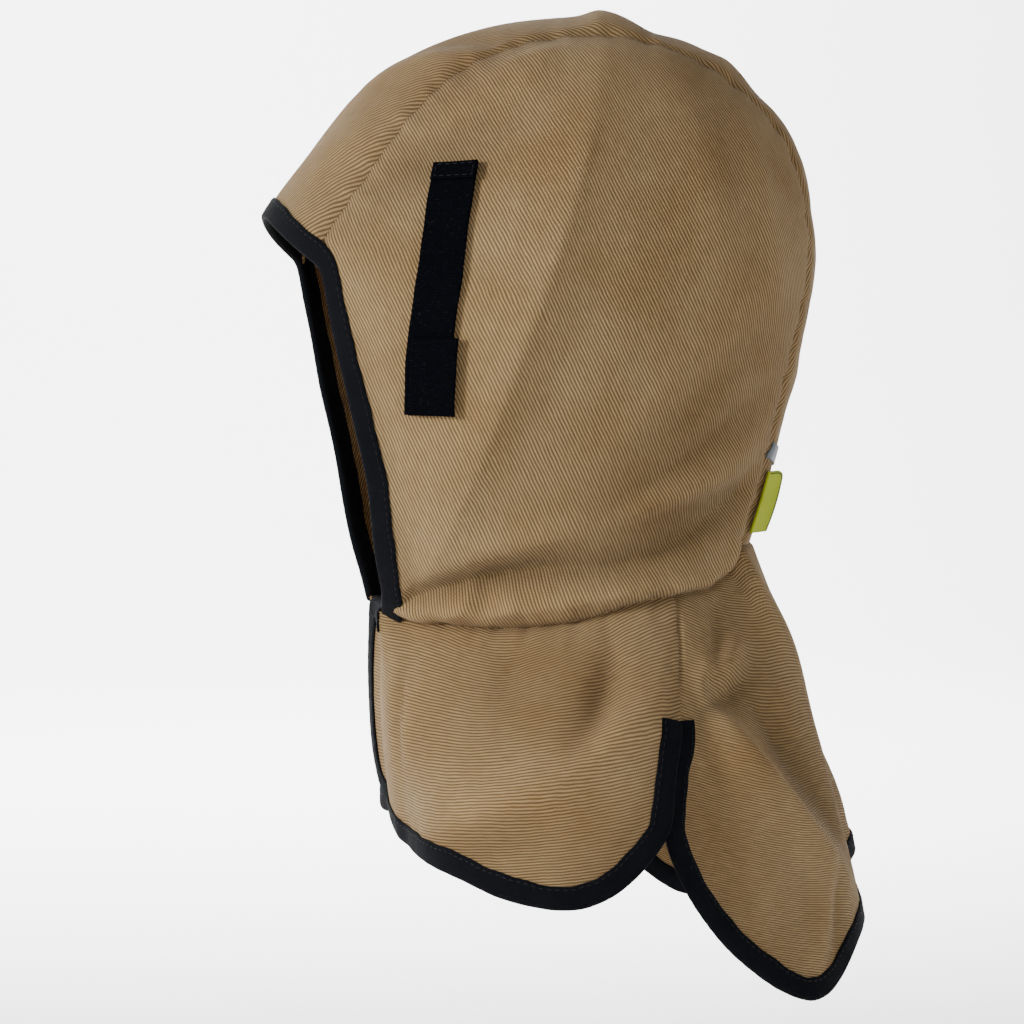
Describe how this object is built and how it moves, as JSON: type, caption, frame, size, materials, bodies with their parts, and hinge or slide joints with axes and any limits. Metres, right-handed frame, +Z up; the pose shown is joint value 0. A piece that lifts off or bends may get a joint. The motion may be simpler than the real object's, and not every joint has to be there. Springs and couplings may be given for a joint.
{
  "type": "welding hood",
  "caption": "Cotton twill welding hood with an open face, a split neck cape, black tape edges and a hook and loop strap at each temple.",
  "frame": {"origin": "the inside of the crown's top on the middle line, where the hood sits on the head", "axes": "+Z up; the wearer faces -Y, so the wearer's left side is at +X"},
  "size_m": [0.2542, 0.2672, 0.4098],
  "materials": {
    "twill": "matt cotton twill",
    "tape": "matt woven tape",
    "strap": "matt loop pile",
    "band": "satin ribbon",
    "tag": "woven tag",
    "label": "white woven label"
  },
  "bodies": {
    "root": {"side_panel_left": "twill", "side_panel_right": "twill", "centre_panel": "twill", "cape_front_left": "twill", "cape_front_right": "twill", "cape_back": "twill", "face_binding": "tape", "front_binding_left": "tape", "front_binding_right": "tape", "back_binding": "tape", "strap_left": "strap", "strap_right": "strap", "strap_tab_left": "strap", "strap_tab_right": "strap", "closure_patch": "strap", "nape_band": "band", "side_tag": "tag", "care_label": "label"}
  },
  "joints": []
}
